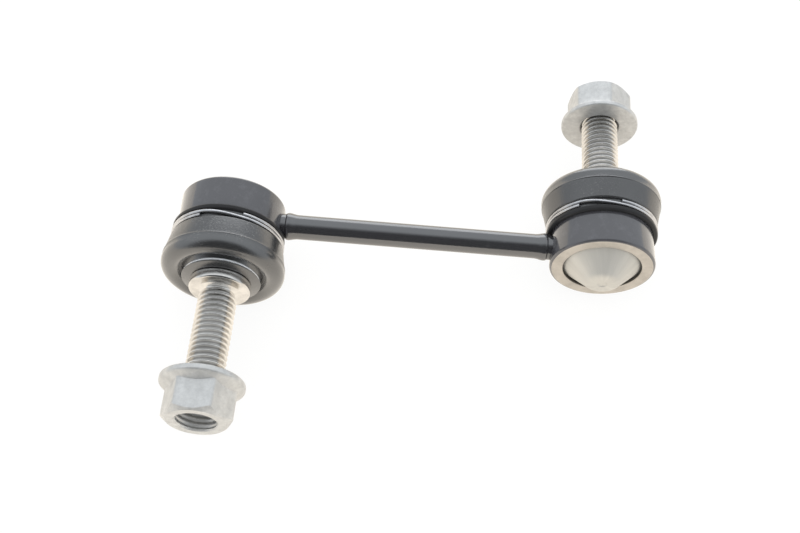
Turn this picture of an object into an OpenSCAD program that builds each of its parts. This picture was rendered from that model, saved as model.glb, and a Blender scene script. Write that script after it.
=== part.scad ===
// Stabilizer link: a short round bar with a ball joint at each end.
// The two threaded studs point opposite ways, square to the bar.
// The bar lies along X, stud A points to -Y and stud B to +Y, +Z is up.
// The origin is midway between the two ball centres. Millimetres.
// Each joint is drawn about its own ball centre, with the stud along +Z.

/* [Link bar] */
// Distance between the two ball centres
link_l = 118.3; // [80:0.1:320]
// Bar diameter
rod_d = 7.8; // [6:0.1:10]
// Diameter of the upset end of the bar
rod_end_d = 8.8; // [8.6:0.1:11]
// Length of the upset end before it tapers
rod_end_l = 1.5; // [1:0.1:4]
// Diameter of the weld between bar and housing
weld_d = 8; // [7:0.1:8.4]
// Least thickness of the weld between bar and housing
weld_l = 0.9; // [0.8:0.1:2]

/* [Housing] */
// Outer diameter of the joint housing at its rolled end
housing_d = 33.2; // [32.6:0.1:38]
// Difference in diameter between the rolled end and the boot's end
housing_taper = 0.8; // [0:0.1:1]
// Height of the housing below the bar's axis
housing_low = 6.4; // [6:0.1:8]
// Height of the housing above the bar's axis
housing_high = 10.6; // [10.4:0.1:11.2]
// Diameter of the opening in the rolled end
rolled_hole_d = 24.6; // [24:0.1:26]
// Thickness of the rolled end
rolled_t = 1.2; // [1:0.1:1.6]
// Rounding of the rolled end's outer edge
rolled_r = 0.6; // [0.3:0.1:1.2]
// Diameter of the mouth around the stud
mouth_d = 22.4; // [22:0.1:23]
// Depth of the groove that holds the boot
boot_groove = 1; // [0.6:0.1:1.4]

/* [Closing cap] */
// Sheet thickness of the conical cap
cap_t = 1.2; // [1:0.1:1.3]
// Outer diameter of the cap's cone where it leaves the flat rim
cone_d = 24; // [23.6:0.1:24.4]
// Diameter of the flat at the cone's tip
cone_tip_d = 9.6; // [8.6:0.1:10.4]
// Height of the cone above the cap's flat rim
cone_h = 7; // [6.6:0.1:7.8]

/* [Ball joint] */
// Ball diameter
ball_d = 18; // [17:0.1:18]
// Running clearance between ball and seat
ball_gap = 0.04; // [0.02:0.01:0.08]
// Outer diameter of the ball seat
seat_d = 24; // [23.4:0.1:24.4]
// Mouth of the seat, as an angle from the stud's axis
seat_mouth = 63; // [61:1:66]
// Clearance between fixed pieces that are pressed together
press_gap = 0.03; // [0.02:0.01:0.06]

/* [Stud] */
// Diameter of the neck above the ball
neck_d = 10.4; // [9.6:0.1:10.6]
// Diameter of the seat under the boot's neck
boot_seat_d = 14; // [13:0.1:15]
// Diameter of the stud's collar
collar_d = 19; // [17:0.1:20]
// Underside of the collar, from the ball centre
collar_low = 22.6; // [22.4:0.1:24]
// Thickness of the collar
collar_t = 3.1; // [2.5:0.1:4.5]
// Thread's outer diameter
thread_d = 12; // [11.6:0.1:12.4]
// Undercut diameter between collar and thread
undercut_d = 9.9; // [9:0.1:10.4]
// Undercut length
undercut_l = 2.2; // [1.5:0.1:3]
// Clear stretch of thread between collar and nut
grip_l = 21.6; // [16:0.1:21.8]
// Length of the thread's lead end, which carries the nut
lead_l = 13.6; // [12:0.1:18]
// Reduction in diameter of the lead end
lead_step = 0.4; // [0.4:0.1:0.6]

/* [Boot] */
// Largest diameter of the boot
boot_d = 38.5; // [37:0.1:40.4]
// Height of the boot's moulded crease, from the ball centre
crease_h = 16.2; // [15.8:0.1:16.6]
// Wall thickness of the boot
boot_t = 1.8; // [1.4:0.1:2]
// Thickness of the boot's lower lip on the housing
lip_t = 1.5; // [1.2:0.1:2]
// Thickness of the rubber under the wire clip
clip_rubber = 1.5; // [1.2:0.1:1.8]
// Clearance of the boot's neck on the stud
neck_gap = 0.1; // [0.05:0.01:0.2]

/* [Rings] */
// Wire diameter of the large clip
clip_wire = 1; // [0.8:0.1:1.1]
// Spacing of the clip's two turns
clip_pitch = 1.25; // [1.15:0.05:1.3]
// Half angle of the stretch where the clip has one turn
clip_open = 22; // [15:1:30]
// Turn of the clip on joint A
clip_turn_a = 181; // [0:1:359]
// Turn of the clip on joint B
clip_turn_b = 349; // [0:1:359]
// Wire diameter of the small neck ring
ring_wire = 0.7; // [0.6:0.1:0.9]
// Diameter of the small neck ring, wire centre to wire centre
ring_d = 23.4; // [23.2:0.1:23.8]

/* [Nuts] */
// Hexagon across flats
nut_af = 19; // [17:0.1:19.4]
// Height of the nut with its flange
nut_h = 13; // [11:0.1:14.5]
// Flange diameter
flange_d = 25.6; // [23:0.1:27]
// Thickness of the flange's rim
flange_rim = 1.9; // [1.4:0.1:2.6]
// Clearance of the nut on the thread
nut_gap = 0.06; // [0.03:0.01:0.1]
// Length of the stud's end that nut A covers
nut_a_on = 6.9; // [5:0.1:13.5]
// Length of the stud's end that nut B covers
nut_b_on = 13.4; // [5:0.1:13.5]
// Turn of nut A's hexagon
nut_a_turn = 3; // [0:1:59]
// Turn of nut B's hexagon
nut_b_turn = 40; // [0:1:59]

/* [Show] */
// Piece to show

/* [Hidden] */
$fn = 96;

housing_r = housing_d / 2;
wall_r = (housing_d - housing_taper) / 2;
groove_r = wall_r - boot_groove;
ball_r = ball_d / 2;
seat_r = seat_d / 2;
boot_r = boot_d / 2;
lip_r = wall_r + lip_t;
clip_seat_r = groove_r + clip_rubber;
thread_r = thread_d / 2;
lead_r = (thread_d - lead_step) / 2;
neck_r = neck_d / 2;
undercut_r = undercut_d / 2;
collar_r = collar_d / 2;
boot_seat_r = boot_seat_d / 2;
cap_at = -housing_low + rolled_t;
cap_r = max(seat_r, cone_d / 2) + 1.6;
cone_r = cone_d / 2;
tip_r = cone_tip_d / 2;
collar_top = collar_low + collar_t;
thread_at = collar_top + undercut_l;
lead_at = thread_at + grip_l;
stud_end = lead_at + lead_l;
nut_a_at = stud_end - nut_a_on;
nut_b_at = stud_end - nut_b_on;
groove_at = 6.3;
groove_top = 9.5;
clip_at = (groove_at + groove_top) / 2 - 0.2;
clip_r = clip_seat_r + clip_wire / 2 + 0.1;
ring_in = (ring_d - ring_wire) / 2 - 0.15;
roll_r = (boot_r - ring_d / 2 - 0.55) / 2;
roll_x = boot_r - roll_r;
roll_z = crease_h + 1.4;
ring_at = collar_low - 1.6;
neck_top = housing_high + 3.6;
boot_seat_at = neck_top + 2.6;
cone_slope = atan2(cone_r - tip_r, cone_h);
steel = [0.72, 0.72, 0.72];
black = [0.13, 0.13, 0.14];

// points on an arc about a centre, in equal steps
function arc(c, r, a0, a1, n) = [for (i = [0:n])
    c + r * [cos(a0 + (a1 - a0) * i / n), sin(a0 + (a1 - a0) * i / n)]];

// places a joint's piece at end A, with its stud towards -Y
module at_a() {
    translate([-link_l / 2, 0, 0])
        rotate([90, 0, 0])
            children();
}

// places a joint's piece at end B, with its stud towards +Y
module at_b() {
    translate([link_l / 2, 0, 0])
        rotate([-90, 0, 0])
            children();
}

// round bar with an upset at each end
module link_rod() {
    half = link_l / 2 - housing_r - weld_l;
    taper = (rod_end_d - rod_d) / 2 + 0.6;
    color(black)
        rotate([0, 90, 0])
            rotate_extrude()
                polygon([[0, -half], [rod_end_d / 2 - 0.4, -half],
                    [rod_end_d / 2, -half + 0.4],
                    [rod_end_d / 2, -half + rod_end_l],
                    [rod_d / 2, -half + rod_end_l + taper],
                    [rod_d / 2, half - rod_end_l - taper],
                    [rod_end_d / 2, half - rod_end_l],
                    [rod_end_d / 2, half - 0.4],
                    [rod_end_d / 2 - 0.4, half], [0, half]]);
}

// weld between the bar's end and the housing wall, side is -1 or 1
module rod_weld(side) {
    inner = link_l / 2 - housing_r - weld_l;
    low = rolled_r - housing_low;
    slope_l = groove_at - low;
    color(black)
        difference() {
            translate([side * inner, 0, 0])
                rotate([0, side * 90, 0])
                    cylinder(d = weld_d, h = weld_l + 1.4);
            translate([side * link_l / 2, side * low, 0])
                rotate([-side * 90, 0, 0])
                    cylinder(r1 = housing_r + press_gap, r2 = wall_r + press_gap, h = slope_l);
        }
}

// turned housing with the rolled end, the seat's bore and the boot's groove
module housing() {
    rim_r = wall_r - 0.3;
    color(black)
        rotate_extrude()
            polygon(concat(
                [[rolled_hole_d / 2, -housing_low]],
                arc([housing_r - rolled_r, rolled_r - housing_low], rolled_r, -90, 0, 6),
                [[wall_r, groove_at], [groove_r, groove_at + 0.3],
                    [groove_r, groove_top], [rim_r, groove_top + 0.3],
                    [rim_r, housing_high - 0.3],
                    [rim_r - 0.3, housing_high],
                    [mouth_d / 2 + 0.4, housing_high],
                    [mouth_d / 2, housing_high - 0.4], [mouth_d / 2, 7],
                    [seat_r, 7], [seat_r, cap_at + cap_t],
                    [cap_r, cap_at + cap_t], [cap_r, cap_at],
                    [rolled_hole_d / 2, cap_at]]));
}

// pressed sheet cap, held by the rolled end, with a blunt cone
module closing_cap() {
    rim = cap_r - press_gap;
    inner = cap_t / cos(cone_slope);
    tip_in = cap_t * (1 - sin(cone_slope)) / cos(cone_slope);
    color(steel)
        rotate_extrude()
            polygon([[0, cap_at - cone_h], [tip_r, cap_at - cone_h],
                [cone_r, cap_at], [rim, cap_at],
                [rim, cap_at + cap_t - press_gap],
                [cone_r - inner + (cap_t - press_gap) * tan(cone_slope),
                    cap_at + cap_t - press_gap],
                [tip_r - tip_in, cap_at - cone_h + cap_t],
                [0, cap_at - cone_h + cap_t]]);
}

// plastic seat around the ball, with a flared mouth and a grease pocket
module ball_seat() {
    shoulder = cap_at + cap_t + press_gap;
    cone_in = cone_r - (cap_t + press_gap) / cos(cone_slope);
    pocket_r = 2.4;
    low = cap_at - cone_h + cap_t + press_gap;
    foot_r = cone_in - (cap_at - low) * tan(cone_slope);
    outer = seat_r - press_gap;
    hollow = ball_r + ball_gap;
    mouth_r = hollow * sin(seat_mouth);
    mouth_z = hollow * cos(seat_mouth);
    color([0.9, 0.88, 0.82])
        difference() {
            rotate_extrude()
                polygon([[pocket_r, low], [foot_r, low],
                    [cone_in + (shoulder - cap_at) * tan(cone_slope), shoulder],
                    [outer, shoulder], [outer, 7 - press_gap],
                    [mouth_d / 2 - 0.6, 7 - press_gap],
                    [mouth_r, mouth_z], [pocket_r, mouth_z]]);
            sphere(r = hollow);
        }
}

// polished bearing ball
module ball() {
    color(steel)
        sphere(r = ball_r);
}

// stud shank: cupped end on the ball, neck, collar, undercut and thread
module stud() {
    cup = ball_r + ball_gap;
    root = sqrt(cup * cup - neck_r * neck_r);
    color(steel)
        difference() {
            rotate_extrude()
                polygon([[0, root - 1], [neck_r, root - 1], [neck_r, neck_top],
                    [boot_seat_r, boot_seat_at], [boot_seat_r, collar_low],
                    [collar_r - 0.3, collar_low], [collar_r, collar_low + 0.3],
                    [collar_r, collar_top - 0.4], [collar_r - 0.4, collar_top],
                    [thread_r + 0.3, collar_top], [undercut_r, collar_top + 0.8],
                    [undercut_r, thread_at - 0.8], [thread_r, thread_at],
                    [thread_r, lead_at], [lead_r, lead_at + 0.1],
                    [lead_r, stud_end - 1], [lead_r - 1, stud_end], [0, stud_end]]);
            sphere(r = cup);
        }
}

// rubber boot: lip, clip seat, flared wall, rolled shoulder and neck
module boot() {
    grip = groove_r + press_gap;
    lip_in = wall_r + (housing_r - wall_r) * 1.7 / (groove_at + housing_low) + press_gap;
    bore = boot_seat_r + neck_gap;
    flare = ring_d / 2 + 0.65;
    seat_low = clip_at - clip_pitch / 2 - clip_wire / 2 - 0.1;
    seat_top = clip_at + clip_pitch / 2 + clip_wire / 2 + 0.1;
    lip_low = groove_at - 1.7;
    color([0.09, 0.09, 0.09])
        rotate_extrude()
            polygon(concat(
                [[lip_in, lip_low], [lip_r - 0.4, lip_low],
                    [lip_r, lip_low + 0.5], [lip_r, seat_low - 0.3],
                    [clip_seat_r, seat_low], [clip_seat_r, seat_top],
                    [lip_r, seat_top + 0.3], [boot_r - 0.2, crease_h]],
                arc([roll_x, roll_z], roll_r, 0, 160, 16),
                [[ring_in, ring_at - ring_wire / 2 - 0.3],
                    [ring_in, ring_at + ring_wire / 2 + 0.15],
                    [flare, ring_at + ring_wire / 2 + 0.3],
                    [flare, ring_at + ring_wire / 2 + 0.5],
                    [collar_r, collar_low - 0.1], [bore, collar_low - 0.1],
                    [bore, boot_seat_at + 0.4], [bore + 0.5, boot_seat_at],
                    [roll_x - roll_r + boot_t, boot_seat_at]],
                arc([roll_x, roll_z], roll_r - boot_t, 180, 0, 12),
                [[boot_r - boot_t - 0.2, crease_h],
                    [wall_r + 0.3, groove_top + 1.5],
                    [wall_r - 0.1, groove_top + 0.3 - press_gap],
                    [grip, groove_top - 2 * press_gap], [grip, groove_at + 0.3 + press_gap],
                    [wall_r + press_gap, groove_at + press_gap]]));
}

// spring-wire clip of almost two turns, crossing over in the open stretch
module boot_clip() {
    cross = asin(clip_pitch / 2 / (clip_r * sin(clip_open)));
    wire = clip_wire / 2;
    color(steel)
        translate([0, 0, clip_at])
            rotate([0, 0, -90])
                union() {
                    for (s = [-1, 1]) {
                        translate([0, 0, s * clip_pitch / 2])
                            rotate([0, 0, clip_open])
                                rotate_extrude(angle = 360 - 2 * clip_open)
                                    translate([clip_r, 0])
                                        circle(r = wire);
                        rotate([0, 0, -s * clip_open])
                            translate([clip_r, 0, s * clip_pitch / 2])
                                sphere(r = wire * 1.04);
                    }
                    rotate([-cross, 0, 0])
                        rotate([0, 0, -clip_open])
                            rotate_extrude(angle = 2 * clip_open)
                                translate([clip_r, 0])
                                    circle(r = wire);
                }
}

// thin closed ring around the boot's neck
module neck_ring() {
    color(steel)
        translate([0, 0, ring_at])
            rotate_extrude()
                translate([ring_d / 2, 0])
                    circle(d = ring_wire);
}

// hexagon flange nut with a plain bore, bearing face at the given height
module flange_nut(at, turn) {
    corner_r = nut_af / 2 / cos(30);
    end_r = nut_af / 2 - 0.6;
    end_fall = (corner_r + 1 - end_r) * 0.8;
    flange_r = flange_d / 2;
    color(steel)
        translate([0, 0, at])
            rotate([0, 0, turn])
                difference() {
                    union() {
                        rotate_extrude()
                            polygon([[0, 0], [flange_r - 0.3, 0], [flange_r, 0.3],
                                [flange_r, flange_rim - 0.3],
                                [flange_r - 0.4, flange_rim],
                                [nut_af / 2 - 0.6, flange_rim + 2.4],
                                [0, flange_rim + 2.4]]);
                        intersection() {
                            cylinder(r = corner_r, h = nut_h, $fn = 6);
                            rotate_extrude()
                                polygon([[0, 0], [corner_r + 1, 0],
                                    [corner_r + 1, nut_h - end_fall],
                                    [end_r, nut_h], [0, nut_h]]);
                        }
                    }
                    rotate_extrude()
                        polygon([[0, -1], [thread_r + 1.6, -1], [thread_r + 0.6, 0],
                            [thread_r + nut_gap, 0.6],
                            [thread_r + nut_gap, nut_h - 0.8],
                            [thread_r + 0.8, nut_h], [thread_r + 1.8, nut_h + 1],
                            [0, nut_h + 1]]);
                }
}

link_rod();
rod_weld(-1);  // rod_weld_a
rod_weld(1);  // rod_weld_b
at_a() housing();  // housing_a
at_b() housing();  // housing_b
at_a() closing_cap();  // closing_cap_a
at_b() closing_cap();  // closing_cap_b
at_a() ball_seat();  // ball_seat_a
at_b() ball_seat();  // ball_seat_b
at_a() ball();  // ball_a
at_b() ball();  // ball_b
at_a() stud();  // stud_a
at_b() stud();  // stud_b
at_a() boot();  // boot_a
at_b() boot();  // boot_b
at_a() rotate([0, 0, clip_turn_a]) boot_clip();  // boot_clip_a
at_b() rotate([0, 0, clip_turn_b]) boot_clip();  // boot_clip_b
at_a() neck_ring();  // neck_ring_a
at_b() neck_ring();  // neck_ring_b
at_a() flange_nut(nut_a_at, nut_a_turn);  // flange_nut_a
at_b() flange_nut(nut_b_at, nut_b_turn);  // flange_nut_b
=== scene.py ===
import math

import bmesh
import bpy
from bpy.props import FloatProperty, FloatVectorProperty, IntProperty, PointerProperty
from mathutils import Matrix, Vector


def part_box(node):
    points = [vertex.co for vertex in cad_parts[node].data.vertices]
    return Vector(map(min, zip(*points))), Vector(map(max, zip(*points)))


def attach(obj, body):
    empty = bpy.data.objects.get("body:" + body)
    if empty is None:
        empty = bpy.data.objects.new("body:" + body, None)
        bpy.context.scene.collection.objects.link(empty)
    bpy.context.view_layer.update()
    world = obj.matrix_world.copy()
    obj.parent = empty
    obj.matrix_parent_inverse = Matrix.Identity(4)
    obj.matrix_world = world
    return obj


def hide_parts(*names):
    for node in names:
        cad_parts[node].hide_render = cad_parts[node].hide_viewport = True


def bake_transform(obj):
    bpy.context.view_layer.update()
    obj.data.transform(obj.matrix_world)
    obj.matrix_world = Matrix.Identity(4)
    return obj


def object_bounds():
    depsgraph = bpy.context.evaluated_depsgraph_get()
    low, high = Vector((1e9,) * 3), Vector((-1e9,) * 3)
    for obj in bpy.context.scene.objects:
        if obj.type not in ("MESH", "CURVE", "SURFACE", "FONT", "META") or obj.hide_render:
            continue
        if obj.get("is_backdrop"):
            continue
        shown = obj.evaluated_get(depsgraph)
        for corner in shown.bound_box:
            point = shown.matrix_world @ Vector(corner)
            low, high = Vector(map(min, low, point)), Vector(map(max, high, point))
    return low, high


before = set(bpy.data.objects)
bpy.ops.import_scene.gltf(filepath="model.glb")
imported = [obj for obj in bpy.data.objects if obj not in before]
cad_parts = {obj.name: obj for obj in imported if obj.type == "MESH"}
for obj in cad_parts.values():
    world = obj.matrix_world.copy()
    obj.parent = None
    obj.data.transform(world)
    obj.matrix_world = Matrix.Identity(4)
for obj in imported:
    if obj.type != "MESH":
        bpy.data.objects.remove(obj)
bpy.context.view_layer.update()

bl_info = {
    "name": "Stabilizer Link",
    "version": (1, 0, 0),
    "blender": (4, 5, 0),
    "location": "View3D > Sidebar > Link",
    "description": "Detailed look of a stabilizer link with two booted ball joints",
    "category": "Object",
}

MM = 0.001
TAU = 2 * math.pi
SIDES = ("a", "b")


def centre(node):
    """Middle of a CAD node's box, in metres."""
    low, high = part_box(node)
    return (Vector(low) + Vector(high)) / 2


def stretch(node, axis):
    """Lowest and highest value of a CAD node along one axis, in millimetres."""
    low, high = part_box(node)
    return low[axis] / MM, high[axis] / MM


def half_width(node):
    """Half of a CAD node's upright size, in millimetres: the radius of a round piece lying down."""
    low, high = stretch(node, 2)
    return (high - low) / 2


def heights(node, side):
    """Where a CAD node starts and ends along its stud, from the ball centre, in millimetres."""
    low, high = stretch(node, 1)
    return (-high, -low) if side == "a" else (low, high)


def joint_frame(side):
    """Matrix from a joint's own frame, with the stud along +Z, to the row frame."""
    turn = math.radians(90 if side == "a" else -90)
    return Matrix.Translation(centre("ball_" + side)) @ Matrix.Rotation(turn, 4, "X")


# Properties


def length_property(name, description, size):
    """A length that a user can set, its default given in millimetres."""
    return FloatProperty(name=name, description=description, unit="LENGTH", precision=5, default=size * MM)


def colour_property(name, description, default):
    """A base colour that a user can set."""
    return FloatVectorProperty(name=name, description=description, subtype="COLOR", size=3, default=default)


class LinkSizes(bpy.types.PropertyGroup):
    """Sizes of the fine detail."""

    segments: IntProperty(name="Segments", description="Steps around each round piece", default=128, min=48)
    thread_pitch: length_property("Thread pitch", "Pitch of stud and nut threads", 1.75)
    thread_depth: length_property("Thread depth", "Depth of the stud's thread", 1.02)
    wire: length_property("Clip wire", "Wire diameter of the boot clip", 1.0)
    crease: length_property("Boot crease", "How far the boot's moulded line stands out", 0.14)


class LinkColours(bpy.types.PropertyGroup):
    """Base colours of the materials."""

    paint: colour_property("Paint", "Black coat of bar and housings", (0.060, 0.058, 0.063))
    rubber: colour_property("Rubber", "Moulded rubber of the boots", (0.022, 0.0215, 0.022))
    dust: colour_property("Dust", "Light specks on the boots", (0.34, 0.33, 0.31))
    stud: colour_property("Stud", "Plated steel of the studs", (0.70, 0.68, 0.65))
    nut: colour_property("Nut", "Zinc-flake coat of the nuts", (0.60, 0.595, 0.58))
    wire: colour_property("Wire", "Bright wire of clips and rings", (0.62, 0.62, 0.63))
    ring: colour_property("Rolled end", "Bare steel of the housing's rolled end", (0.49, 0.46, 0.42))
    cap: colour_property("Cap", "Plated sheet of the closing caps", (0.66, 0.635, 0.585))


def colour(name):
    """One of the base colours."""
    return tuple(getattr(bpy.context.scene.link_colours, name))


# Meshes


def rounded(corners, steps=5):
    """Points (r, t) of a profile whose corners (r, t, reach) are rounded off."""
    most = 0.48
    points = []
    last = len(corners) - 1
    for i, (r, t, reach) in enumerate(corners):
        if reach <= 0 or i in (0, last):
            points.append((r, t))
            continue
        here = Vector((r, t))
        before = Vector(corners[i - 1][:2]) - here
        after = Vector(corners[i + 1][:2]) - here
        reach = min(reach, most * before.length, most * after.length)
        start = here + before.normalized() * reach
        end = here + after.normalized() * reach
        for k in range(steps + 1):
            u = k / steps
            point = start * (1 - u) ** 2 + here * 2 * u * (1 - u) + end * u * u
            points.append((point.x, point.y))
    return points


def arc(r, t, radius, start, end, steps):
    """Points (r, t) on an arc about a centre, angles in degrees."""
    points = []
    for i in range(steps + 1):
        a = math.radians(start + (end - start) * i / steps)
        points.append((r + radius * math.cos(a), t + radius * math.sin(a)))
    return points


def rows_mesh(name, rows, loop=False, sharp=35):
    """Mesh object from rows of points in millimetres, all of one count; points that coincide are joined."""
    together = 2e-7
    n = len(rows[0])
    verts = [Vector(point) * MM for row in rows for point in row]
    faces = []
    for i in range(len(rows) if loop else len(rows) - 1):
        j = (i + 1) % len(rows)
        for k in range(n - 1):
            faces.append((i * n + k, i * n + k + 1, j * n + k + 1, j * n + k))
    mesh = bpy.data.meshes.new(name)
    mesh.from_pydata(verts, [], faces)
    work = bmesh.new()
    work.from_mesh(mesh)
    bmesh.ops.remove_doubles(work, verts=work.verts, dist=together)
    bmesh.ops.recalc_face_normals(work, faces=work.faces)
    work.to_mesh(mesh)
    work.free()
    mesh.shade_smooth()
    mesh.set_sharp_from_angle(angle=math.radians(sharp))
    obj = bpy.data.objects.new(name, mesh)
    bpy.context.scene.collection.objects.link(obj)
    return obj


def ring_row(r, t, n):
    """One ring of a turned piece, its last point on its first."""
    return [(r * math.cos(TAU * k / n), r * math.sin(TAU * k / n), t) for k in range(n + 1)]


def lathe(name, profile, loop=False, sharp=35):
    """Turned piece from a profile of (r, t) points."""
    n = bpy.context.scene.link_sizes.segments
    return rows_mesh(name, [ring_row(max(r, 0), t, n) for r, t in profile], loop, sharp)


def tube(name, path, radius, sides=14, tip=0.7):
    """Round wire along a path of points in millimetres, with ends that draw in a little and close."""
    turns = [TAU * k / sides for k in range(sides + 1)]
    last = len(path) - 1
    rows = []
    for i, point in enumerate(path):
        ahead = (Vector(path[min(i + 1, last)]) - Vector(path[max(i - 1, 0)])).normalized()
        out = Vector((point[0], point[1], 0)).normalized()
        up = ahead.cross(out).normalized()
        out = up.cross(ahead)
        rows.append([Vector(point) + radius * (out * math.cos(a) + up * math.sin(a)) for a in turns])
    first = Vector(path[0])
    end = Vector(path[-1])
    first_end = [[first for a in turns], [first.lerp(q, tip) for q in rows[0]]]
    other_end = [[end.lerp(q, tip) for q in rows[-1]], [end for a in turns]]
    return rows_mesh(name, first_end + rows + other_end, sharp=50)


def thread_rows(start, end, pitch, n, radius):
    """Rows along a right-hand thread; radius takes the depth share, 0 at the crest, and the height."""
    steps = 16
    crest = 0.10
    flank = 0.72
    rows = []
    for i in range(-steps, math.ceil((end - start) / pitch * steps) + 1):
        away = abs((i / steps + 0.5) % 1.0 - 0.5) * 2
        share = min(max((away - crest) / flank, 0.0), 1.0)
        depth = share * share * (3 - 2 * share)
        row = []
        for k in range(n + 1):
            a = TAU * k / n
            t = min(max(start + (i / steps + k / n) * pitch, start), end)
            r = radius(depth, t)
            row.append((r * math.cos(a), r * math.sin(a), t))
        rows.append(row)
    return rows


def settle(obj, side, finish, body, nodes=()):
    """Puts a joint's piece in place, gives it its material and lets it ride on its body."""
    obj.matrix_world = joint_frame(side)
    obj.data.materials.append(material(finish))
    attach(obj, body)
    if nodes:
        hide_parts(*nodes)
    return obj


# Materials


class Nodes:
    """Short way to write the node tree of a material or of the world."""

    def __init__(self, owner, shader):
        owner.use_nodes = True
        self.owner = owner
        self.tree = owner.node_tree
        self.shader = self.tree.nodes[shader]
        self.coordinates = self.add("ShaderNodeTexCoord").outputs
        self.place = self.coordinates["Object"]

    def add(self, kind, inputs=None, **settings):
        node = self.tree.nodes.new(kind)
        for key, value in settings.items():
            setattr(node, key, value)
        for key, value in (inputs or {}).items():
            self.put(node, key, value)
        return node

    def put(self, node, key, value):
        if isinstance(value, bpy.types.NodeSocket):
            self.tree.links.new(value, node.inputs[key])
        else:
            node.inputs[key].default_value = value

    def set(self, **values):
        for key, value in values.items():
            self.put(self.shader, key.replace("_", " "), value)

    def math(self, operation, a, b=0.0):
        return self.add("ShaderNodeMath", {0: a, 1: b}, operation=operation).outputs[0]

    def times(self, a, b):
        return self.math("MULTIPLY", a, b)

    def noise(self, scale, detail=4.0, rough=0.55, vector=None):
        inputs = {"Vector": vector or self.place, "Scale": scale, "Detail": detail, "Roughness": rough}
        return self.add("ShaderNodeTexNoise", inputs).outputs["Fac"]

    def ramp(self, fac, low, high, a, b, **settings):
        """Goes from a to b while the factor goes from low to high."""
        inputs = {"Value": fac, "From Min": low, "From Max": high, "To Min": a, "To Max": b}
        return self.add("ShaderNodeMapRange", inputs, clamp=True, **settings).outputs["Result"]

    def share(self, fac, low, high):
        """0 up to the low value, 1 from the high one."""
        return self.ramp(fac, low, high, 0.0, 1.0)

    def middle(self, pattern, a, b):
        """Spreads the middle of a noise pattern over a stretch of values."""
        return self.ramp(pattern, 0.3, 0.7, a, b)

    def choose(self, fac, a, b):
        """Mixes two numbers."""
        return self.add("ShaderNodeMix", {0: fac, 2: a, 3: b}).outputs[0]

    def mix(self, fac, a, b):
        """Mixes two colours."""
        node = self.add("ShaderNodeMix", data_type="RGBA")
        self.put(node, 0, fac)
        for index, value in ((6, a), (7, b)):
            self.put(node, index, value if isinstance(value, bpy.types.NodeSocket) else (*value[:3], 1.0))
        return node.outputs[2]

    def axes(self):
        return self.add("ShaderNodeSeparateXYZ", {0: self.place}).outputs

    def polar(self):
        """Distance from the stud's axis, and the angle about it, in a joint's own frame."""
        x, y, z = self.axes()
        square = self.math("ADD", self.times(x, x), self.times(y, y))
        return self.math("SQRT", square), self.math("ARCTAN2", y, x)

    def vector(self, x, y, z):
        return self.add("ShaderNodeCombineXYZ", {0: x, 1: y, 2: z}).outputs[0]

    def bump(self, height, strength, distance):
        node = self.add("ShaderNodeBump", {"Height": height, "Strength": strength, "Distance": distance})
        self.put(self.shader, "Normal", node.outputs[0])

    def rays(self):
        return self.add("ShaderNodeLightPath").outputs


def surface(name):
    """A new material to be written with nodes."""
    return Nodes(bpy.data.materials.new(name), "Principled BSDF")


def tone(base, factor):
    """A colour made lighter or darker."""
    return tuple(min(1.0, c * factor) for c in base)


def paint_material():
    """Satin black coat with orange peel and faint dust, under a thin clear layer."""
    base = colour("paint")
    n = surface("black_paint")
    dust = n.share(n.noise(260, 8, 0.7), 0.5, 0.78)
    cloud = n.share(n.noise(45, 3), 0.3, 0.7)
    coat = n.mix(cloud, tone(base, 0.92), tone(base, 1.08))
    n.set(Base_Color=n.mix(dust, coat, tone(base, 1.6)),
          Roughness=n.middle(n.noise(120, 5), 0.15, 0.23), IOR=1.65, Specular_IOR_Level=0.40,
          Coat_Weight=0.9, Coat_Roughness=0.12, Coat_IOR=1.45)
    n.bump(n.noise(900, 3), 0.12, 0.2 * MM)
    return n.owner


def rod_material():
    """Glossier black coat of the bar."""
    base = tone(colour("paint"), 0.45)
    n = surface("bar_paint")
    specks = n.share(n.noise(420, 8, 0.75), 0.6, 0.75)
    n.set(Base_Color=n.mix(specks, base, tone(base, 2.2)),
          Roughness=n.middle(n.noise(90, 5), 0.12, 0.20), IOR=1.85, Specular_IOR_Level=0.8)
    n.bump(n.noise(700, 3), 0.05, 0.2 * MM)
    return n.owner


def rubber_material():
    """Moulded rubber: lip with its shine turned down as painted shade, dusty bloom, fine scuffs, light
    specks above the clip, shinier shoulder.

    The boots' meshes lie in the row frame, so the distance from the bar along Y is the height."""
    base = colour("rubber")
    shaded_lip = (6.3 * MM, 6.8 * MM)
    dusty = (9.0 * MM, 10.0 * MM)
    cleaner = (15.0 * MM, 19.5 * MM)
    shoulder = (15.0 * MM, 17.0 * MM)
    a_to_b = (-1.0 * MM, 1.0 * MM)
    n = surface("boot_rubber")
    across = n.axes()[1]
    along = n.math("ABSOLUTE", across)
    bloom = n.share(n.noise(70, 6, 0.65), 0.42, 0.72)
    scuff = n.share(n.noise(900, 6, 0.8), 0.58, 0.72)
    band = n.times(n.share(along, *dusty), n.ramp(along, *cleaner, 1.0, 0.3))
    patches = n.times(band, n.share(n.noise(120, 3), 0.40, 0.62))
    specks = n.times(patches, n.share(n.noise(2100, 3, 0.6), 0.57, 0.67))
    specks = n.times(specks, n.ramp(across, *a_to_b, 1.0, 0.3))
    coat = n.mix(scuff, n.mix(bloom, base, tone(base, 1.3)), tone(base, 2.0))
    n.set(Base_Color=n.mix(n.times(specks, 0.55), coat, colour("dust")),
          Roughness=n.middle(n.noise(160, 5), 0.20, 0.28), IOR=2.0,
          # Painted shade: the lip under the clip reflects far less, to look as if it lies in shadow.
          Specular_IOR_Level=n.ramp(along, *shaded_lip, 0.06, 0.46),
          Coat_Weight=n.ramp(along, *shoulder, 0.0, 0.8), Coat_Roughness=0.2, Coat_IOR=1.5)
    n.bump(n.noise(1500, 5, 0.7), 0.22, 0.2 * MM)
    return n.owner


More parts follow.
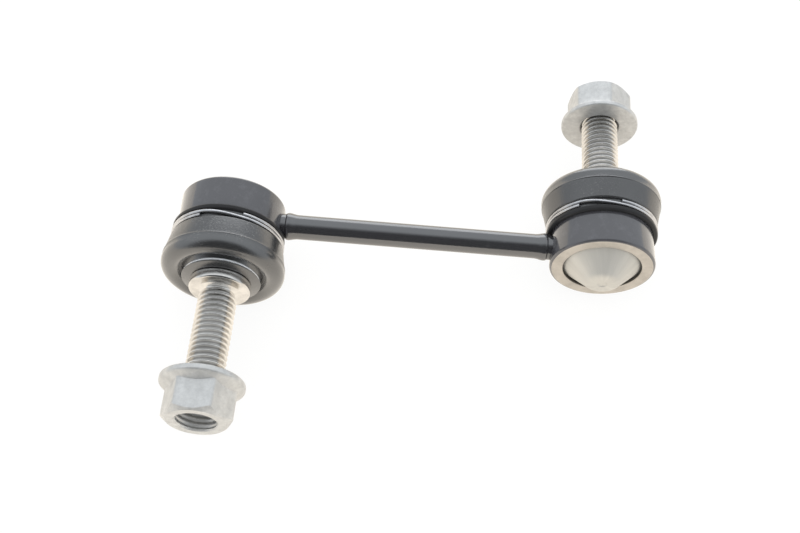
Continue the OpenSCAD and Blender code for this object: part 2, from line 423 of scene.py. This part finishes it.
def stud_material():
    """Plated steel with faint stains, and painted shade that darkens the roots between the threads."""
    base = colour("stud")
    root_shade_radii = (5.0 * MM, 5.7 * MM)
    thread_start = (27.2 * MM, 28.2 * MM)
    n = surface("stud_steel")
    radius, angle = n.polar()
    along = n.axes()[2]
    stain = n.share(n.noise(120, 6, 0.65), 0.4, 0.75)
    drawn = n.noise(1.0, 4, 0.6, n.vector(n.times(angle, 2.0), n.times(along, 2600.0), 0.0))
    coat = n.mix(stain, tone(base, 1.1), tone(base, 0.72))
    # Painted shade: the thread roots are darkened where little light reaches into the grooves.
    painted_root_shade = n.times(n.ramp(radius, *root_shade_radii, 0.55, 0.0), n.share(along, *thread_start))
    n.set(Base_Color=n.mix(painted_root_shade, coat, tone(base, 0.22)), Metallic=1.0,
          Roughness=n.middle(drawn, 0.16, 0.24))
    return n.owner


def nut_material():
    """Light zinc-flake coat, mottled and finely grained."""
    base = colour("nut")
    n = surface("nut_zinc")
    mottle = n.share(n.noise(420, 8, 0.72), 0.36, 0.66)
    cloud = n.share(n.noise(110, 4), 0.35, 0.7)
    grain = n.mix(mottle, tone(base, 0.86), n.mix(cloud, tone(base, 1.04), tone(base, 1.2)))
    n.set(Base_Color=grain, Metallic=0.62, Roughness=n.middle(n.noise(300, 5), 0.34, 0.50))
    n.bump(n.noise(2200, 5, 0.7), 0.30, 0.12 * MM)
    return n.owner


def wire_material():
    """Bright drawn spring wire."""
    base = colour("wire")
    n = surface("clip_wire")
    tarnish = n.share(n.noise(260, 5, 0.65), 0.45, 0.75)
    n.set(Base_Color=n.mix(tarnish, base, tone(base, 0.68)), Metallic=1.0,
          Roughness=n.middle(n.noise(500, 4), 0.22, 0.36))
    return n.owner


def bright_material():
    """Polished wire of the neck rings, and the hidden balls."""
    base = tone(colour("wire"), 1.5)
    n = surface("bright_wire")
    tarnish = n.share(n.noise(240, 5, 0.6), 0.45, 0.75)
    n.set(Base_Color=n.mix(tarnish, base, tone(base, 0.94)), Metallic=0.3,
          Roughness=n.middle(n.noise(400, 4), 0.16, 0.26))
    return n.owner


def ring_material():
    """Bare rolled steel with tool marks around the axis, and painted shade on its inner edge next to the
    cap.
    """
    base = colour("ring")
    cap_seam_shade = (12.32 * MM, 12.46 * MM)
    n = surface("rolled_steel")
    radius, angle = n.polar()
    marks = n.noise(1.0, 5, 0.7, n.vector(n.times(radius, 5200.0), n.times(angle, 0.8), 0.0))
    stain = n.share(n.noise(150, 6, 0.7), 0.42, 0.74)
    face = n.mix(stain, tone(base, 1.08), tone(base, 0.78))
    # Painted shade: inside the hole's edge, next to the cap, the steel is darkened for the gap's shadow.
    n.set(Base_Color=n.mix(n.ramp(radius, *cap_seam_shade, 1.0, 0.0), face, tone(base, 0.30)), Metallic=0.9,
          Roughness=n.middle(marks, 0.32, 0.52))
    n.bump(marks, 0.25, 0.08 * MM)
    return n.owner


def cap_material():
    """Plated pressed sheet with faint streaks down the cone, and painted shade on its rim in the gap at the
    rolled end.
    """
    base = colour("cap")
    # Radii where the painted shade of the gap at the rolled end sets in.
    rim = (11.5 * MM, 12.0 * MM)
    around = 3.2
    n = surface("cap_steel")
    radius, angle = n.polar()
    streaks = n.noise(1.0, 5, 0.65, n.vector(n.times(n.math("COSINE", angle), around),
                                             n.times(n.math("SINE", angle), around),
                                             n.times(radius, 40.0)))
    face = n.mix(n.share(streaks, 0.3, 0.75), tone(base, 1.03), tone(base, 0.90))
    # Painted shade: the flat rim beyond the cone is darkened for the gap's shadow.
    n.set(Base_Color=n.mix(n.share(radius, *rim), face, tone(base, 0.30)), Metallic=0.65,
          Roughness=n.middle(streaks, 0.56, 0.66))
    n.bump(streaks, 0.04, 0.2 * MM)
    return n.owner


def seat_material():
    """Natural plastic of the hidden ball seats."""
    darker = (0.78, 0.76, 0.69)
    lighter = (0.84, 0.82, 0.76)
    n = surface("seat_plastic")
    n.set(Base_Color=n.mix(n.share(n.noise(300, 4), 0.3, 0.7), darker, lighter), Roughness=0.45)
    return n.owner


MAKERS = {
    "paint": paint_material,
    "rod": rod_material,
    "rubber": rubber_material,
    "stud": stud_material,
    "nut": nut_material,
    "wire": wire_material,
    "bright": bright_material,
    "ring": ring_material,
    "cap": cap_material,
    "seat": seat_material,
}
made = {}


def material(name):
    """A material by its short name, made on first use."""
    if name not in made:
        made[name] = MAKERS[name]()
    return made[name]


def finish_node(name, finish):
    """Gives a CAD node its material."""
    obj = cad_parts[name]
    obj.data.materials.clear()
    obj.data.materials.append(material(finish))


# Pieces, with their own sizes in millimetres and heights from the ball centre


class LINK_OT_bar(bpy.types.Operator):
    """Adds the bar with its upset ends and the two welds"""

    bl_idname = "link.bar"
    bl_label = "Bar and welds"

    bar_r = 3.9
    crown = 0.15
    crown_at = 1.0
    crown_end = 1.9
    upset_l = 3.4
    plain_half = 20

    def execute(self, context):
        upset_r = half_width("link_rod")
        half = stretch("link_rod", 0)[1]
        end = [
            (0, -half, 0),
            (upset_r - self.crown, -half, 0.5),
            (upset_r, self.crown_at - half, 0.7),
            (upset_r - self.crown, self.crown_end - half, 0.8),
            (self.bar_r, self.upset_l - half, 1.0),
        ]
        plain = [(self.bar_r, t, 0) for t in (-self.plain_half, 0, self.plain_half)]
        other_end = [(r, -t, reach) for r, t, reach in reversed(end)]
        bar = lathe("bar", rounded(end + plain + other_end), sharp=60)
        bar.matrix_world = Matrix.Rotation(math.radians(90), 4, "Y")
        bar.data.materials.append(material("rod"))
        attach(bar, "link")
        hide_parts("link_rod")
        # The welds take the bar's darker paint: partly their black coat, partly painted shade for the dark
        # gap at the housing.
        for side in SIDES:
            finish_node("rod_weld_" + side, "rod")
        return {"FINISHED"}


class LINK_OT_housings(bpy.types.Operator):
    """Adds the housings with their bare rolled ends, and the closing caps"""

    bl_idname = "link.housings"
    bl_label = "Housings and caps"

    taper = 0.4
    coat_in = 0.75
    coat_up = 0.06
    corner_in = 0.35
    corner_up = 0.2
    corner_top = 0.7
    groove_low = 6.3
    groove_top = 9.5
    groove_depth = 1.0
    bevel = 0.3
    edge = 0.1
    mouth_r = 11.2
    mouth_edge = 0.4
    seat_r = 12.0
    seat_top = 7.0
    rolled_hole_r = 12.3
    rolled_t = 1.2
    rolled_hole_edge = 0.3
    rolled_face_in = 1.0
    cap_t = 1.2
    cap_gap = 0.05
    cap_r = 13.5
    pocket_r = 13.6
    cone_r = 12.0
    cone_in = 11.5
    tip_r = 4.8
    tip_in = 4.3
    dimple_r = 1.5
    dimple = 0.3

    def shell(self, r, low, high):
        """The painted outside, from the rolled end's edge over the boot's groove into the mouth."""
        wall = r - self.taper
        rim = wall - self.bevel
        return rounded([
            (r - self.coat_in, low + self.coat_up, 0),
            (r - self.corner_in, low + self.corner_up, 0.5),
            (r, low + self.corner_top, 0.6),
            (wall, self.groove_low, self.edge),
            (wall - self.groove_depth, self.groove_low + self.bevel, self.edge),
            (wall - self.groove_depth, self.groove_top, self.edge),
            (rim, self.groove_top + self.bevel, self.edge),
            (rim, high - self.bevel, self.edge),
            (rim - self.bevel, high, self.edge),
            (self.mouth_r + self.mouth_edge, high, 0.2),
            (self.mouth_r, high - self.mouth_edge, 0.2),
            (self.mouth_r, self.seat_top, 0),
        ])

    def rolled_end(self, r, low):
        """The bare inside: the seat's bore, the cap's pocket and the rolled end's face."""
        cap_at = low + self.rolled_t
        return rounded([
            (self.mouth_r, self.seat_top, 0),
            (self.seat_r, self.seat_top, 0),
            (self.seat_r, cap_at + self.cap_t, 0),
            (self.pocket_r, cap_at + self.cap_t, 0),
            (self.pocket_r, cap_at, 0),
            (self.rolled_hole_r, cap_at, 0.1),
            (self.rolled_hole_r, low + 0.15, 0.2),
            (self.rolled_hole_r + self.rolled_hole_edge, low + 0.02, 0.3),
            (r - self.rolled_face_in, low, 0.3),
            (r - self.coat_in, low + self.coat_up, 0),
        ])

    def cap(self, tip, base):
        """The pressed cap: dimpled tip, cone and flat rim."""
        back = base + self.cap_t - self.cap_gap
        return rounded([
            (0, tip + self.dimple, 0),
            (self.dimple_r - 0.3, tip + self.dimple, 0.2),
            (self.dimple_r, tip, 0.2),
            (self.tip_r, tip, 1.4),
            (self.cone_r, base, 0.6),
            (self.cap_r, base, 0),
            (self.cap_r, back, 0),
            (self.cone_in, back, 0),
            (self.tip_in, tip + self.cap_t, 0),
            (0, tip + self.cap_t, 0),
        ])

    def execute(self, context):
        for side in SIDES:
            housing = "housing_" + side
            closing_cap = "closing_cap_" + side
            low, high = heights(housing, side)
            r = half_width(housing)
            shell = lathe("housing_shell_" + side, self.shell(r, low, high))
            settle(shell, side, "paint", "link", [housing])
            rolled = lathe("rolled_end_" + side, self.rolled_end(r, low))
            settle(rolled, side, "ring", "link")
            tip = heights(closing_cap, side)[0]
            cap = lathe("cap_" + side, self.cap(tip, low + self.rolled_t))
            settle(cap, side, "cap", "link", [closing_cap])
            finish_node("ball_seat_" + side, "seat")
            finish_node("ball_" + side, "bright")
        return {"FINISHED"}


class LINK_OT_boots(bpy.types.Operator):
    """Adds the rubber boots, each as a wall and a shoulder that meet below the moulded crease"""

    bl_idname = "link.boots"
    bl_label = "Boots"

    seam_at = 14.5
    seam_in = 17.0
    seam_out = 18.75
    wall_t = 1.8
    held_to = 9.6
    neck_at = 18.6
    grip_r = 15.25
    grip_low = 6.65
    grip_top = 9.45
    lip_in = 16.27
    lip_r = 17.7
    lip_low = 4.6
    clip_seat_r = 16.7
    clip_low = 6.5
    clip_top = 8.9
    bevel = 0.3
    crease_at = 16.2
    crease_r = 19.05
    roll_r = 15.75
    roll_at = 17.6
    roll = 3.5
    roll_end = 158
    ring_r = 11.2
    ring_low = 20.3
    ring_top = 21.5
    flare_r = 12.35
    neck_r = 9.5
    neck_top = 22.5
    bore_r = 7.1
    bore_low = 18.9
    under_neck = (9.0, 18.4)
    under_r = 12.0
    under_at = 17.2
    inner_flare = (16.5, 11.0)
    inner_lip = (16.1, 9.8)

    def wall(self):
        """Lip on the housing, seat of the clip and flared wall up to the seam."""
        return rounded([
            (self.seam_in, self.seam_at, 0),
            (*self.inner_flare, 0.5),
            (*self.inner_lip, 0.3),
            (self.grip_r, self.grip_top, 0.2),
            (self.grip_r, self.grip_low, 0.2),
            (self.lip_in - 0.02, self.grip_low - self.bevel, 0.2),
            (self.lip_in, self.lip_low, 0.2),
            (self.lip_r - 0.4, self.lip_low, 0.4),
            (self.lip_r, self.lip_low + 0.5, 0.4),
            (self.lip_r, self.clip_low - self.bevel, 0.3),
            (self.clip_seat_r, self.clip_low, 0.3),
            (self.clip_seat_r, self.clip_top, 0.3),
            (self.lip_r, self.clip_top + self.bevel, 0.4),
            (self.seam_out, self.seam_at, 0),
        ])

    def shoulder(self, ridge):
        """Moulded crease, rolled shoulder, seat of the neck ring and neck, from the seam up."""
        crease = rounded([
            (self.seam_out, self.seam_at, 0),
            (self.crease_r - 0.07, self.crease_at - 0.55, 0.4),
            (self.crease_r + ridge, self.crease_at - 0.28, 0.12),
            (self.crease_r, self.crease_at, 0),
        ])
        roll = arc(self.roll_r, self.roll_at, self.roll, 0, self.roll_end, 22)
        roll_in = self.roll - self.wall_t
        neck = rounded([
            (*roll[-1], 0),
            (self.ring_r, self.ring_low, 0.5),
            (self.ring_r, self.ring_top, 0.15),
            (self.flare_r, self.ring_top + 0.18, 0.15),
            (self.flare_r - 0.15, self.ring_top + 0.4, 0.2),
            (self.neck_r, self.neck_top, 0.3),
            (self.bore_r, self.neck_top, 0),
            (self.bore_r, self.bore_low, 0),
            (*self.under_neck, 0),
            (self.under_r, self.under_at, 0),
            (self.roll_r - roll_in, self.under_at, 0),
        ])
        inside = arc(self.roll_r, self.roll_at, roll_in, 180, 0, 14)
        inside.append((self.crease_r - self.wall_t, self.crease_at))
        inside.append((self.seam_in, self.seam_at))
        return crease + roll + neck[1:] + inside

    def execute(self, context):
        wall = self.wall()
        shoulder = self.shoulder(context.scene.link_sizes.crease / MM)
        for side in SIDES:
            place = joint_frame(side)
            ball = "ball_" + side
            neck_ring = "neck_ring_" + side
            for name, profile, bodies, start, end in (
                ("boot_wall_" + side, wall, ("link", ball), self.held_to, self.seam_at),
                ("boot_shoulder_" + side, shoulder, (ball, neck_ring), self.seam_at, self.neck_at),
            ):
                obj = lathe(name, profile, loop=True, sharp=50)
                obj.matrix_world = place
                obj.data.materials.append(material("rubber"))
                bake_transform(obj)
            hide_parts("boot_" + side)
        return {"FINISHED"}


class LINK_OT_rings(bpy.types.Operator):
    """Adds the spring-wire clips around the boots and finishes the neck rings"""

    bl_idname = "link.rings"
    bl_label = "Clips and neck rings"

    clip_r = 17.3
    pitch = 1.25
    open_half = 22
    turn = {"a": 181, "b": 349}
    steps = 360

    def clip_path(self, turn, middle):
        """Almost two turns of wire, crossing over in the stretch where there is only one."""
        cross_start = 360 - 2 * self.open_half
        path = []
        for i in range(self.steps + 1):
            run = (720 - 2 * self.open_half) * i / self.steps
            cross = min(max((run - cross_start) / (2 * self.open_half), 0), 1)
            shift = (0.5 - cross * cross * (3 - 2 * cross)) * self.pitch
            a = math.radians(turn - 90 + self.open_half + run)
            path.append((self.clip_r * math.cos(a), self.clip_r * math.sin(a), middle + shift))
        return path

    def execute(self, context):
        wire_r = context.scene.link_sizes.wire / MM / 2
        for side in SIDES:
            boot_clip = "boot_clip_" + side
            low, high = heights(boot_clip, side)
            clip = tube("clip_" + side, self.clip_path(self.turn[side], (low + high) / 2), wire_r)
            settle(clip, side, "wire", "link", [boot_clip])
            finish_node("neck_ring_" + side, "bright")
        return {"FINISHED"}


class LINK_OT_studs(bpy.types.Operator):
    """Adds the studs with neck, collar, undercut and cut thread"""

    bl_idname = "link.studs"
    bl_label = "Studs"

    steps = 96
    cup_at = 8.3
    foot_at = 7.4
    neck_r = 5.2
    neck_top = 14.2
    boot_seat_r = 7.0
    boot_seat_at = 16.8
    collar_r = 9.5
    collar_low = 22.6
    collar_top = 25.7
    undercut_r = 4.95
    undercut_at = 26.5
    undercut_top = 27.0
    thread_at = 27.1
    thread_r = 6.0
    lead_in = 1.1
    end_r = 4.7

    def shank(self):
        """From the ball over neck, boot seat and collar to the undercut."""
        return rounded([
            (0, self.cup_at, 0),
            (self.neck_r, self.foot_at, 0),
            (self.neck_r, self.neck_top, 1.0),
            (self.boot_seat_r, self.boot_seat_at, 1.0),
            (self.boot_seat_r, self.collar_low, 0),
            (self.collar_r - 0.3, self.collar_low, 0.3),
            (self.collar_r, self.collar_low + 0.3, 0.5),
            (self.collar_r, self.collar_top - 0.4, 0.3),
            (self.collar_r - 0.4, self.collar_top, 0.3),
            (self.thread_r + 0.3, self.collar_top, 0.3),
            (self.undercut_r, self.undercut_at, 0.4),
            (self.undercut_r, self.undercut_top, 0.3),
        ])

    def execute(self, context):
        sizes = context.scene.link_sizes
        depth_mm = sizes.thread_depth / MM
        start = self.thread_at
        end = heights("stud_a", "a")[1]

        def radius(depth, t):
            run_in = self.undercut_r + (t - start) * self.lead_in
            run_out = self.undercut_r + (end - t)
            return min(self.thread_r - depth_mm * depth, run_in, run_out)

        rows = [ring_row(r, t, self.steps) for r, t in self.shank()]
        rows += thread_rows(start, end, sizes.thread_pitch / MM, self.steps, radius)
        rows.append(ring_row(self.end_r, end, self.steps))
        rows.append(ring_row(0, end, self.steps))
        for side in SIDES:
            stud = "stud_" + side
            detail = rows_mesh("stud_detail_" + side, rows, sharp=75)
            settle(detail, side, "stud", stud, [stud])
        return {"FINISHED"}


class LINK_OT_nuts(bpy.types.Operator):
    """Adds the hexagon flange nuts with their inner thread, which clears the stud's"""

    bl_idname = "link.nuts"
    bl_label = "Flange nuts"

    steps = 240
    flats = 19.0
    corner_cut = 0.2
    corner_blend = 0.6
    turn = {"a": 33.0, "b": 10.0}
    flange_r = 12.8
    flange_edge = 0.3
    flange_rim = 1.9
    rim_edge = 0.35
    cone_r = 12.4
    cone_slope = 0.6
    cone_steps = 8
    fillet = 0.25
    fillet_mid_out = 0.08
    fillet_mid_rise = 0.1
    fillet_rise = 0.22
    end_r = 8.9
    end_slope = 0.82
    bore_r = 6.44
    bore_depth = 0.40
    mouth_low_r = 6.80
    mouth_top_r = 6.65
    mouth_step = 0.05
    thread_in = 0.02

    def hexagon(self, angle):
        """Distance from the axis to the hexagon's wall, with its corners taken off a little."""
        sector = (angle + math.pi / 6) % (math.pi / 3) - math.pi / 6
        flat = self.flats / 2 / math.cos(sector)
        corner = self.flats / 2 / math.cos(math.pi / 6) - self.corner_cut
        near = min(max(0.5 + (corner - flat) / self.corner_blend, 0.0), 1.0)
        return corner + (flat - corner) * near - self.corner_blend / 2 * near * (1 - near)

    def flange(self, low):
        """The bearing face and the flange's rim, as a profile."""
        return rounded([
            (self.mouth_low_r, low, 0),
            (self.flange_r - self.flange_edge, low, 0),
            (self.flange_r, low + self.flange_edge, 0.2),
            (self.flange_r, low + self.flange_rim - self.rim_edge, 0.3),
            (self.flange_r - self.rim_edge, low + self.flange_rim, 0.2),
        ])

    def outside(self, low, high, turn):
        """Rows over the flange's cone and the hexagon's walls, up to the top face."""
        angles = [TAU * k / self.steps for k in range(self.steps + 1)]
        walls = [self.hexagon(a - turn) for a in angles]

        def cone(r):
            return low + self.flange_rim + (self.flange_r - self.rim_edge - r) * self.cone_slope

        def row(radii, levels):
            return [(r * math.cos(a), r * math.sin(a), t) for r, t, a in zip(radii, levels, angles)]

        rows = []
        for i in range(1, self.cone_steps + 1):
            edge = self.cone_r - (self.cone_r - self.end_r) * i / self.cone_steps
            radii = [max(edge, w + self.fillet) for w in walls]
            rows.append(row(radii, [cone(r) for r in radii]))
        rows.append(row([w + self.fillet_mid_out for w in walls],
                        [cone(w + self.fillet) + self.fillet_mid_rise for w in walls]))
        feet = [cone(w) + self.fillet_rise for w in walls]
        tops = [high - max(0.0, w - self.end_r) * self.end_slope for w in walls]
        for share in (0.0, 0.35, 0.7, 1.0):
            rows.append(row(walls, [foot + (top - foot) * share for foot, top in zip(feet, tops)]))
        rows.append(row([min(w, self.end_r) for w in walls], [high for w in walls]))
        return rows

    def inside(self, low, high, pitch):
        """Rows down the threaded bore, from the top face to the bearing face."""
        def bore(depth, t):
            top_mouth = self.mouth_top_r - self.mouth_step - (high - t)
            low_mouth = self.mouth_low_r - self.mouth_step - (t - low)
            return max(self.bore_r - self.bore_depth * depth, top_mouth, low_mouth)

        thread = thread_rows(low + self.thread_in, high - self.thread_in, pitch, self.steps, bore)
        rows = [ring_row(self.mouth_top_r, high, self.steps)]
        rows += reversed(thread)
        rows.append(ring_row(self.mouth_low_r, low, self.steps))
        return rows

    def execute(self, context):
        pitch = context.scene.link_sizes.thread_pitch / MM
        for side in SIDES:
            nut = "flange_nut_" + side
            low, high = heights(nut, side)
            rows = [ring_row(r, t, self.steps) for r, t in self.flange(low)]
            rows += self.outside(low, high, math.radians(self.turn[side]))
            rows += self.inside(low, high, pitch)
            detail = rows_mesh("nut_" + side, rows, sharp=28)
            settle(detail, side, "nut", nut, [nut])
        return {"FINISHED"}


# Stage, in metres


class LINK_OT_stage(bpy.types.Operator):
    """Adds the pale floor, the soft light and the camera"""

    bl_idname = "link.stage"
    bl_label = "Stage"

    floor_half = 3.0
    floor_gap = 0.1 * MM
    paper_dark = (0.89, 0.85, 0.78)
    paper_light = (0.91, 0.87, 0.80)
    white = (1, 1, 1, 1)
    paper_glow = 1.05
    paper_share = 0.85
    mirrored_tint = (1.0, 0.93, 0.83, 1)
    mirrored_glow = 1.32
    mirrored_share = 0.9
    lamp_size = 1.2
    back_place = (0.0, 1.3, 0.15)
    back_power = 6.0
    back_tint = (0.97, 0.98, 1.0)
    front_place = (0.0, -1.2, 0.5)
    front_power = 5.0
    front_tint = (1.0, 0.97, 0.92)
    sky_tint = (0.90, 0.95, 1.0, 1)
    sky_level = (0.92, 1.12)
    sky_rise = (0.1, 0.8)
    sky_white = 1.08
    patch_towards = (0.0, -0.85, 0.53)
    patch_edge = (0.45, 0.90)
    patch_level = 0.05
    camera_place = (-0.47 * MM, -194.46 * MM, 305.81 * MM)
    camera_turn = (30.851, -1.820, 4.259)
    focal_px = 1137
    photo_px = 800
    sensor_mm = 36

    def execute(self, context):
        scene = context.scene
        self.add_floor(scene)
        self.add_lamp(scene, "softbox_back", self.back_place, self.back_power, self.back_tint)
        front = self.add_lamp(scene, "softbox_front", self.front_place, self.front_power, self.front_tint)
        front.visible_glossy = False
        self.add_world(scene)
        self.add_camera(scene)
        scene.view_settings.view_transform = "Standard"
        return {"FINISHED"}

    def add_floor(self, scene):
        """Paper that the camera sees nearly white, with the link's shadow, and that mirrors see warm."""
        half = self.floor_half
        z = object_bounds()[0][2] - self.floor_gap
        corners = [(-half, -half, z), (half, -half, z), (half, half, z), (-half, half, z)]
        mesh = bpy.data.meshes.new("floor")
        mesh.from_pydata(corners, [], [(0, 1, 2, 3)])
        floor = bpy.data.objects.new("floor", mesh)
        scene.collection.objects.link(floor)
        n = surface("floor_white")
        fibre = n.share(n.noise(300, 4), 0.3, 0.7)
        n.set(Base_Color=n.mix(fibre, self.paper_dark, self.paper_light), Roughness=0.9,
              Specular_IOR_Level=0.1)
        rays = n.rays()
        plain = n.math("MAXIMUM", rays["Is Camera Ray"], rays["Is Transmission Ray"])
        paper = n.add("ShaderNodeEmission", {"Color": self.white, "Strength": self.paper_glow})
        mirrored = n.add("ShaderNodeEmission", {
            "Color": self.mirrored_tint,
            "Strength": self.mirrored_glow})
        seen = n.add("ShaderNodeMixShader", {
            0: n.times(plain, self.paper_share),
            1: n.shader.outputs[0],
            2: paper.outputs[0]})
        both = n.add("ShaderNodeMixShader", {
            0: n.times(rays["Is Glossy Ray"], self.mirrored_share),
            1: seen.outputs[0],
            2: mirrored.outputs[0]})
        n.put(n.tree.nodes["Material Output"], 0, both.outputs[0])
        mesh.materials.append(n.owner)
        floor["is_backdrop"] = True

    def add_lamp(self, scene, name, place, power, tint):
        """A round softbox that faces the link."""
        data = bpy.data.lights.new(name, "AREA")
        data.shape = "DISK"
        data.size = self.lamp_size
        data.energy = power
        data.color = tint
        lamp = bpy.data.objects.new(name, data)
        lamp.location = place
        lamp.rotation_euler = (-Vector(place)).to_track_quat("-Z", "Y").to_euler()
        scene.collection.objects.link(lamp)
        lamp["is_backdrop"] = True
        return lamp

    def add_world(self, scene):
        """Nearly even sky; mirrors see a dark patch in front, the camera sees plain white."""
        scene.world = bpy.data.worlds.new("studio")
        n = Nodes(scene.world, "Background")
        rays = n.rays()

        def towards(direction):
            inputs = {0: n.coordinates["Generated"], 1: direction}
            return n.add("ShaderNodeVectorMath", inputs, operation="DOT_PRODUCT").outputs["Value"]

        soft = {"interpolation_type": "SMOOTHSTEP"}
        level = n.ramp(towards((0, 0, 1)), *self.sky_rise, *self.sky_level, **soft)
        patch = n.ramp(towards(self.patch_towards), *self.patch_edge, 1.0, self.patch_level, **soft)
        mirrored = n.choose(rays["Is Glossy Ray"], level, n.times(level, patch))
        n.set(Strength=n.choose(rays["Is Camera Ray"], mirrored, self.sky_white),
              Color=n.mix(rays["Is Camera Ray"], self.sky_tint, self.white))

    def add_camera(self, scene):
        """Camera fitted to the photograph."""
        data = bpy.data.cameras.new("camera")
        data.sensor_width = self.sensor_mm
        data.lens = self.sensor_mm * self.focal_px / self.photo_px
        data.clip_start = 10 * MM
        camera = bpy.data.objects.new("camera", data)
        camera.location = self.camera_place
        camera.rotation_euler = [math.radians(a) for a in self.camera_turn]
        scene.collection.objects.link(camera)
        scene.camera = camera


STEPS = (
    LINK_OT_bar,
    LINK_OT_housings,
    LINK_OT_boots,
    LINK_OT_rings,
    LINK_OT_studs,
    LINK_OT_nuts,
    LINK_OT_stage,
)


class LINK_PT_panel(bpy.types.Panel):
    """Lists the link's pieces and settings"""

    bl_idname = "LINK_PT_panel"
    bl_label = "Stabilizer link"
    bl_space_type = "VIEW_3D"
    bl_region_type = "UI"
    bl_category = "Link"

    def draw(self, context):
        layout = self.layout
        for group in (context.scene.link_sizes, context.scene.link_colours):
            for name in group.bl_rna.properties.keys():
                if name not in ("rna_type", "name"):
                    layout.prop(group, name)
        for kind in STEPS:
            layout.operator(kind.bl_idname)


CLASSES = (LinkSizes, LinkColours, *STEPS, LINK_PT_panel)


def register():
    for kind in CLASSES:
        bpy.utils.register_class(kind)
    bpy.types.Scene.link_sizes = PointerProperty(type=LinkSizes)
    bpy.types.Scene.link_colours = PointerProperty(type=LinkColours)


def unregister():
    del bpy.types.Scene.link_colours
    del bpy.types.Scene.link_sizes
    for kind in reversed(CLASSES):
        bpy.utils.unregister_class(kind)


def main():
    register()
    bpy.ops.link.bar()
    bpy.ops.link.housings()
    bpy.ops.link.boots()
    bpy.ops.link.rings()
    bpy.ops.link.studs()
    bpy.ops.link.nuts()
    bpy.ops.link.stage()


if __name__ == "__main__":
    main()
